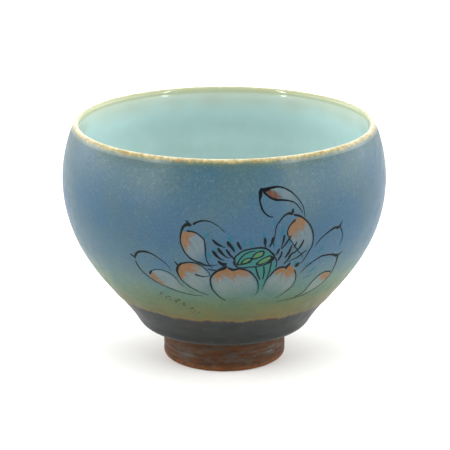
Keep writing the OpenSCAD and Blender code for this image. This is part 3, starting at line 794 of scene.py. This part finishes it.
# Each petal: its two edges from tip to base, how far down the coral reaches at five places from
# the first edge to the second, and how strong its pale enamel is
PETALS = {
    "left_outer": (
        [(-21.5, 34.6), (-20.5, 35.8), (-17.5, 36.5), (-14.7, 35.4), (-12.2, 32.4), (-9, 29.7)],
        [(-21.8, 34.1), (-20.3, 32.7), (-16, 31), (-13.6, 30.3), (-11, 29.8), (-9, 29.5)],
        (0.06, 0.18, 0.24, 0.34, 0.46), 0.62),
    "left_low": (
        [(-12.4, 38.2), (-11.6, 38.9), (-9, 39.6), (-6.4, 39), (-4.4, 37), (-3.8, 35.6), (-4.2, 32),
         (-4.6, 29.8)],
        [(-12.7, 37.6), (-12.7, 36.4), (-12, 34.3), (-10.8, 33), (-9.3, 31.8), (-8, 31.1),
         (-6.5, 30.3), (-4.8, 29.7)],
        (0.46, 0.43, 0.38, 0.36, 0.36), 0.62),
    "left_upright": (
        [(-10.6, 48.5), (-11.1, 46.8), (-11.1, 45.2), (-10.7, 43.9), (-10, 42.4), (-8.9, 41.2),
         (-7.6, 40.4), (-6, 39.8), (-4.2, 39.3)],
        [(-9.3, 48.4), (-8.2, 48.4), (-7, 48), (-6, 47.3), (-5.2, 46.4), (-5, 43.9), (-5, 42.3),
         (-4.8, 40.7), (-4.2, 39.5)],
        (0.5, 0.46, 0.34, 0.26, 0.2), 0.62),
    "front_centre": (
        [(0.4, 38.4), (-1.4, 37.6), (-2.9, 36.4), (-3.7, 35), (-3.7, 33.3), (-3.4, 31.9), (-2.5, 30.4),
         (-1.2, 28.9), (0.7, 27.8)],
        [(1, 38.4), (2.3, 37.8), (4.1, 37.9), (5.8, 37.6), (7.2, 36.6), (8.3, 35.5), (9.2, 34.1),
         (9.7, 32.4), (9.8, 30.8), (9.2, 29)],
        (0.5, 0.52, 0.56, 0.58, 0.5), 0.66),
    "front_right": (
        [(16.9, 37.5), (15.2, 37.4), (14.1, 36.9), (13, 35.6), (12.1, 34.4), (11.6, 33), (11.4, 31.6),
         (11.2, 30)],
        [(18.2, 37.9), (19.4, 37.4), (20, 36), (20.7, 34.4), (21, 32.6), (20.6, 30.9), (19.5, 29.8),
         (18, 28.6), (16.4, 27.6)],
        (0.5, 0.52, 0.52, 0.46, 0.3), 0.64),
    "right_upright": (
        [(18.5, 50.5), (17.4, 49.6), (16.7, 48.7), (16.4, 47.4), (17, 46), (17.7, 44.9), (18.8, 43.4),
         (20.1, 41.7), (21.3, 40.5)],
        [(19, 51.2), (20.2, 51), (21.6, 50), (22.8, 48.4), (23.6, 46.8), (24, 44.9), (23.9, 42.9),
         (23.1, 41.2), (21.8, 39.8)],
        (0.54, 0.5, 0.46, 0.4, 0.32), 0.5),
    "right_outer": (
        [(34, 32.7), (31.6, 33.3), (29.9, 32.9), (28.4, 31.6), (27.4, 30), (26.5, 28.2), (25.4, 27.3),
         (24, 27)],
        [(34.5, 32.1), (33.9, 31), (33.4, 30.4), (31.8, 29), (29.5, 27.8), (27.5, 27.2), (25.5, 26.9),
         (24, 26.8)],
        (0.4, 0.38, 0.36, 0.28, 0.18), 0.62),
    "top": (
        [(11, 58.6), (12.4, 59.2), (14.1, 59.3), (15.8, 58.8), (17.5, 57.7), (18.8, 56.4), (19.8, 55.1),
         (20.5, 53.9)],
        [(11, 58.1), (11.9, 57.2), (13.4, 56.5), (15.2, 56.3), (17, 55.9), (18.4, 55.2), (19.3, 54.4),
         (20.2, 53.2)],
        (0.0, 0.2, 0.34, 0.42, 0.44), 0.34),
}
HEAD_TOP = (
    [(2.8, 40.9), (3.6, 42.3), (4.9, 43.2), (6.5, 43.6), (8.2, 43.8), (9.8, 43.8), (11.2, 43.3),
     (12.3, 42.3), (13.1, 41.2)],
    [(2.8, 40.3), (3, 39.4), (3.6, 38.8), (4.9, 38.5), (6.5, 38.5), (8.5, 38.6), (10.5, 38.9),
     (12.3, 39.8), (13, 40.7)])
HEAD_CONE = (
    [(6.3, 38.3), (7.9, 36.6), (9.1, 35), (9.7, 33.4), (9.9, 31.9), (10, 29.6)],
    [(13.9, 39.6), (14, 37.9), (12.9, 36.3), (12, 34.6), (11.5, 33.2), (11, 31.8), (10.3, 29.4)])
SEEDS = [
    ([(7.4, 41.3), (8, 42.1), (9.2, 42.8), (10.2, 42.6)],
     [(7.5, 41.1), (8.7, 41.2), (9.7, 41.7), (10.3, 42.4)]),
    ([(4.4, 39.8), (5.2, 40.6), (6.6, 41.1), (7.2, 41)],
     [(4.5, 39.7), (5.4, 39.8), (6.5, 40.3), (7.2, 40.8)]),
    ([(8.6, 39.3), (9.3, 40), (10.9, 41), (12.1, 41.2)],
     [(8.7, 39.2), (9.8, 39.3), (11.4, 39.8), (12.5, 40.7)]),
]


# ---- Painting: thin closed sheets of enamel ---------------------------------

def wrap(u, z, lift):
    """Points of the flat drawing laid on the glaze and raised by lift mm."""
    az = u / belly_r
    r, n_r, n_z = outer_at(z)
    away = lift - outer_dip(az, z)
    r = r + away * n_r
    return np.stack([r * np.sin(az), -r * np.cos(az), z + away * n_z], -1)


class Enamel:
    """Sheets of one painted piece, each a grid of places on the flat drawing."""

    def __init__(self):
        self.points = []
        self.faces = []
        self.values = {}
        self.count = 0

    def sheet(self, u, z, lift, **values):
        turn = np.sum(np.diff(u, axis=1)[:-1] * np.diff(z, axis=0)[:, :-1]
                      - np.diff(z, axis=1)[:-1] * np.diff(u, axis=0)[:, :-1])
        if turn < 0:
            u, z, lift = u[:, ::-1], z[:, ::-1], lift[:, ::-1]
            values = {name: number[:, ::-1] for name, number in values.items()}
        n, m = u.shape
        top = np.arange(n * m).reshape(n, m) + self.count
        under = top + n * m
        for face, flip in ((top, False), (under, True)):
            quads = [face[:-1, :-1], face[:-1, 1:], face[1:, 1:], face[1:, :-1]]
            quads = quads[::-1] if flip else quads
            self.faces.extend(np.stack([q.ravel() for q in quads], 1).tolist())
        rim = np.concatenate([top[0, :-1], top[:-1, -1], top[-1, :0:-1], top[:0:-1, 0]])
        ahead = np.roll(rim, -1)
        self.faces.extend(np.stack([ahead, rim, rim + n * m, ahead + n * m], 1).tolist())
        self.points.append(wrap(u, z, lift).reshape(-1, 3))
        self.points.append(wrap(u, z, np.full(u.shape, -SINK)).reshape(-1, 3))
        for name, number in values.items():
            self.values.setdefault(name, []).extend([number.ravel(), number.ravel()])
        self.count += 2 * n * m

    def piece(self, node, slot, material):
        made = mesh_object(node + "_look", np.concatenate(self.points), self.faces)
        give(made, **{name: np.concatenate(parts) for name, parts in self.values.items()})
        fit(made, node, material)


def ribbon(points, seed, step=0.12, across=7):
    """A stroke's grid: u, z, place across from -1 to 1, place along from 0 to 1, width."""
    line = smooth_path(points, step)
    run = np.concatenate([[0], np.cumsum(np.hypot(*np.diff(line[:, :2], axis=0).T))])
    ahead = np.gradient(line[:, :2], run, axis=0)
    ahead /= np.linalg.norm(ahead, axis=1)[:, None]
    width = np.maximum(line[:, 2], 0.05)
    near_end = np.clip(np.minimum(run, run[-1] - run) / (width / 2), 0.02, 1)
    half = width / 2 * np.sqrt(1 - (1 - near_end) ** 2)
    o = np.linspace(-1, 1, across)[None, :]
    rough = 1 + 0.1 * noise(run, seed, 0.5, 1, seed)[:, None]
    rough = rough + 0.08 * noise(run, seed, 0.22, 1, seed + 1)[:, None] * o
    side = half[:, None] * o * rough
    u = line[:, 0:1] - ahead[:, 1:2] * side
    z = line[:, 1:2] + ahead[:, 0:1] * side
    along = (run / run[-1])[:, None] + 0 * o
    return u, z, o + 0 * along, along, width[:, None] + 0 * o


def ink(strokes, heavy):
    paint = Enamel()
    for i, points in enumerate(strokes):
        bold = [(a, b, heavy * w) for a, b, w in points]
        u, z, o, along, width = ribbon(bold, 40 + 7 * i)
        rise = 0.038 + (0.012 + 0.03 * np.minimum(width / 0.6, 1)) * (1 - o**2)
        dry = 1 - 0.25 * ease(along, 0.6, 1) * (0.5 + 0.5 * noise(u, z, 0.3, 0.3, 61))
        cover = dry * (1 - 0.3 * np.abs(o) ** 5)
        paint.sheet(u, z, rise, ink=cover)
    return paint


def edge_path(points):
    """Dense points along a petal's edge with their share of its length."""
    line = smooth_path(points, 0.05)
    run = np.concatenate([[0], np.cumsum(np.hypot(*np.diff(line, axis=0).T))])
    return line, run / run[-1]


def loft(sides, t, s):
    """Places t down and s across between two edges, with t and s as equal grids."""
    spots = []
    for line, share in (edge_path(sides[0]), edge_path(sides[1])):
        spots.append([np.interp(t, share, line[:, 0]), np.interp(t, share, line[:, 1])])
    return [(1 - s) * a + s * b for a, b in zip(*spots)]


def grid(rows, columns):
    t = np.linspace(0, 1, rows)[:, None] + np.zeros((1, columns))
    s = np.linspace(0, 1, columns)[None, :] + np.zeros((rows, 1))
    return t, s


def pale_cover(t, s, u, z, strength):
    streaks = 0.82 + 0.18 * noise(s * 9, t * 2.5, 1, 1, 71) + 0.08 * noise(u, z, 0.6, 0.6, 72)
    rim = ease(s, 0, 0.08) * ease(1 - s, 0, 0.08)
    return strength * streaks * rim * ease(1 - t, 0.02, 0.5) * ease(t, 0, 0.03)


def paint_petal(name, sides, reach, strength, seed):
    t, s = grid(64, 30)
    u, z = loft(sides, t, s)
    cover = pale_cover(t, s, u, z, strength)
    paint = Enamel()
    paint.sheet(u, z, 0.012 + 0.008 * cover, pale=cover)
    paint.piece("petal_" + name, "pale_enamel", PALE)
    down, s = grid(40, 40)
    fingers = 1 + 0.16 * noise(s * 7, seed, 1, 1, seed) + 0.1 * noise(s * 16, seed, 1, 1, seed + 1)
    limit = np.interp(s, np.linspace(0, 1, 5), reach) * fingers + 0.01
    t = down * limit
    u, z = loft(sides, t, s)
    below = pale_cover(t, s, u, z, strength)
    fringe = 0.16 * noise(u, z, 0.34, 0.34, seed + 4) + 0.16 * noise(s * 22, t * 6, 1, 1, seed + 5)
    spread = ease(1 - down + fringe * ease(down, 0.3, 0.7), 0.02, 0.42)
    spread = spread * ease(1 - down, 0, 0.1) * ease(t, 0, 0.02)
    spread = spread * ease(s, 0, 0.05) * ease(1 - s, 0, 0.05)
    patchy = 0.88 + 0.16 * noise(u, z, 0.5, 0.5, seed + 2) + 0.1 * noise(u, z, 1.4, 1.4, seed + 3)
    coral = np.clip(spread * patchy, 0, 1)
    paint = Enamel()
    paint.sheet(u, z, 0.024 + 0.01 * coral, pale=below, coral=coral)
    paint.piece("tip_" + name, "coral_enamel", CORAL_TOP if name == "top" else CORAL)


PALE_COLOUR = rgb(106, 112, 110)
PALE = paint_material("pale_enamel", [("pale", PALE_COLOUR, 0.15)])
CORAL = paint_material("coral_enamel", [("pale", PALE_COLOUR, 0.15), ("coral", rgb(104, 68, 22), 0.3)])
CORAL_TOP = paint_material(
    "coral_dark", [("pale", PALE_COLOUR, 0.15), ("coral", rgb(76, 38, 4), 0.25)])
INK = paint_material("ink", [("ink", rgb(17, 17, 13), 0.06)], 0.45, 0.06)
BLACK = paint_material("ink_black", [("ink", rgb(8, 6, 7), 0.04)], 0.45, 0.04)
TEAL = paint_material("teal_wash", [("teal", rgb(24, 80, 92), 0.2)])
HEAD = paint_material("seed_head_enamel", [("teal", rgb(39, 90, 84), 0.12)])
SEED = paint_material("seed_enamel", [("seed", rgb(60, 95, 57), 0.2)])
FLECK = paint_material("iron_flecks", [("fleck", rgb(50, 40, 15), 0.2)], 0.5)

for i, (name, (side_a, side_b, reach, strength)) in enumerate(PETALS.items()):
    paint_petal(name, (side_a, side_b), reach, strength, 80 + 10 * i)

for node, strokes in (
    ("line_left_outer", LEFT_OUTER), ("line_left_low", LEFT_LOW), ("line_left_upright", LEFT_UPRIGHT),
    ("line_left_back", LEFT_BACK), ("line_front_centre", FRONT_CENTRE),
    ("line_front_right", FRONT_RIGHT), ("line_right_upright", RIGHT_UPRIGHT),
    ("line_right_back", RIGHT_BACK), ("line_right_outer", RIGHT_OUTER), ("line_top", TOP),
    ("seed_head_lines", HEAD_LINES), ("stamens_left", LEFT_STAMENS), ("stamens_right", RIGHT_STAMENS),
):
    heavy = 1.3 if node == "seed_head_lines" else 1.16
    ink(strokes, heavy).piece(node, "ink", BLACK if node == "line_top" else INK)

paint = Enamel()
for i, points in enumerate(WASHES):
    wide = [(a, b, 1.35 * w) for a, b, w in points]
    u, z, o, along, width = ribbon(wide, 300 + 7 * i, 0.15, 9)
    cover = 0.95 * (1 - o**2) * ease(along, 0, 0.35) * ease(1 - along, 0, 0.35)
    paint.sheet(u, z, 0.004 + 0.004 * cover, teal=cover)
paint.piece("teal_wash", "teal_wash", TEAL)

paint = Enamel()
for sides in (HEAD_CONE, HEAD_TOP):
    t, s = grid(50, 30)
    u, z = loft(sides, t, s)
    fade = ease(1 - t, 0, 0.22) if sides is HEAD_CONE else 1
    cover = fade * (0.9 + 0.1 * noise(u, z, 0.7, 0.7, 91)) * (1 - 0.3 * ease(np.abs(2 * s - 1), 0.8, 1))
    lift = (0.026 if sides is HEAD_TOP else 0.014) + 0 * t
    paint.sheet(u, z, lift + 0.004 * cover, teal=cover)
paint.piece("seed_head", "seed_head_enamel", HEAD)

paint = Enamel()
for sides in SEEDS:
    t, s = grid(24, 14)
    u, z = loft(sides, t, s)
    bulge = (1 - (2 * s - 1) ** 2) * ease(t, 0, 0.2) * ease(1 - t, 0, 0.2)
    paint.sheet(u, z, 0.032 + 0.02 * bulge, seed=0.75 + 0.25 * bulge)
paint.piece("seeds", "seed_enamel", SEED)

# Loose flecks of iron left of the lotus, scattered over the same slanting patch as in the frame
FLECK_CENTRE = (-15, 25.6)
FLECK_SPREAD = (7, 1.6)
FLECK_TILT = math.radians(-24)
FLECK_COUNT = 22
FLECK_R = 0.4
GOLDEN_ANGLE = 137.5
paint = Enamel()
for i in range(1, FLECK_COUNT + 1):
    reach = math.sqrt(i / FLECK_COUNT)
    a = math.radians(math.floor(i * GOLDEN_ANGLE) % 360)
    x = FLECK_SPREAD[0] * reach * math.cos(a)
    y = FLECK_SPREAD[1] * reach * math.sin(a)
    at_u = FLECK_CENTRE[0] + x * math.cos(FLECK_TILT) - y * math.sin(FLECK_TILT)
    at_z = FLECK_CENTRE[1] + x * math.sin(FLECK_TILT) + y * math.cos(FLECK_TILT)
    size = FLECK_R * (0.6 + 0.4 * math.sin(math.radians(i * GOLDEN_ANGLE)))
    t, s = grid(9, 7)
    bow = np.sqrt(np.clip(1 - (2 * t - 1) ** 2, 0.01, 1))
    wobble = 1 + 0.35 * noise(t * 3 + i, s * 3, 1, 1, 500 + i)
    u = at_u + size * 1.3 * (2 * t - 1) * wobble
    z = at_z + size * 0.9 * bow * (2 * s - 1) * wobble
    cover = 0.8 * (1 - 0.5 * np.abs(2 * s - 1) ** 3)
    paint.sheet(u, z, 0.012 + 0.02 * bow * (1 - (2 * s - 1) ** 2), fleck=cover)
paint.piece("glaze_flecks", "iron_flecks", FLECK)

# ---- Floor ------------------------------------------------------------------

floor = bpy.data.objects.new("floor", bpy.data.meshes.new("floor"))
floor.data.from_pydata([(-4, -4, 0), (4, -4, 0), (4, 4, 0), (-4, 4, 0)], [], [(0, 1, 2, 3)])
bpy.context.scene.collection.objects.link(floor)
t = Tree("floor")
paper = t.mix(t.cloud(40, 2), rgb(247, 247, 245), rgb(249, 249, 247))
floor.data.materials.append(t.finish(paper, 0.8))

# ---- Light and camera -------------------------------------------------------

DIM = 0.1              # strength of the sky everywhere
SIDE_GLOW = 6.8        # added low at both sides
BACK_GLOW = 1.8        # added behind the cup
TOP_GLOW = 0.9         # added overhead
world = bpy.data.worlds.new("studio")
bpy.context.scene.world = world
world.use_nodes = True
sky = Sky(world)
towards = sky.nodes.new("ShaderNodeTexCoord")
split = sky.nodes.new("ShaderNodeSeparateXYZ")
sky.links.new(towards.outputs["Generated"], split.inputs[0])
across = sky.math("ABSOLUTE", split.outputs["X"])
low = sky.span(split.outputs["Z"], 0.6, 0.2)
side = sky.math("MULTIPLY", low, sky.span(across, 0.65, 0.95, 0.0, SIDE_GLOW))
back = sky.span(split.outputs["Y"], 0.0, 0.8, 0.0, BACK_GLOW)
top = sky.span(split.outputs["Z"], 0.6, 0.95, 0.0, TOP_GLOW)
strength = sky.math("ADD", sky.math("ADD", side, back), top)
strength = sky.math("ADD", strength, DIM)
sky.links.new(strength, sky.nodes["Background"].inputs["Strength"])
sky.nodes["Background"].inputs["Color"].default_value = (1, 1, 1, 1)

BOX_AZIMUTH = 50       # degrees from straight in front, one box on each side
BOX_DISTANCE = 1.5     # m from the axis
BOX_HEIGHT = 0.95      # m, middle of the box
BOX_SIZE = (0.11, 1.9)
BOX_POWER = 22


def softbox(name, azimuth):
    """An upright strip light that faces the axis."""
    lamp = bpy.data.lights.new(name, "AREA")
    lamp.shape = "RECTANGLE"
    lamp.size, lamp.size_y = BOX_SIZE
    lamp.energy = BOX_POWER
    place = bpy.data.objects.new(name, lamp)
    a = math.radians(azimuth)
    place.location = (BOX_DISTANCE * math.sin(a), -BOX_DISTANCE * math.cos(a), BOX_HEIGHT)
    place.rotation_euler = (math.pi / 2, 0, a)
    bpy.context.scene.collection.objects.link(place)


softbox("softbox_left", -BOX_AZIMUTH)
softbox("softbox_right", BOX_AZIMUTH)

CAMERA_PLACE = (0.0002, -0.4889, 0.1894)
CAMERA_PITCH = 17.34   # degrees down
CAMERA_LENS = 149.3    # mm, on a sensor 36 mm wide
lens = bpy.data.cameras.new("camera")
lens.sensor_width = 36
lens.lens = CAMERA_LENS
camera = bpy.data.objects.new("camera", lens)
camera.location = CAMERA_PLACE
camera.rotation_euler = (math.radians(90 - CAMERA_PITCH), 0, 0)
bpy.context.scene.collection.objects.link(camera)
bpy.context.scene.camera = camera
bpy.context.scene.view_settings.view_transform = "Standard"
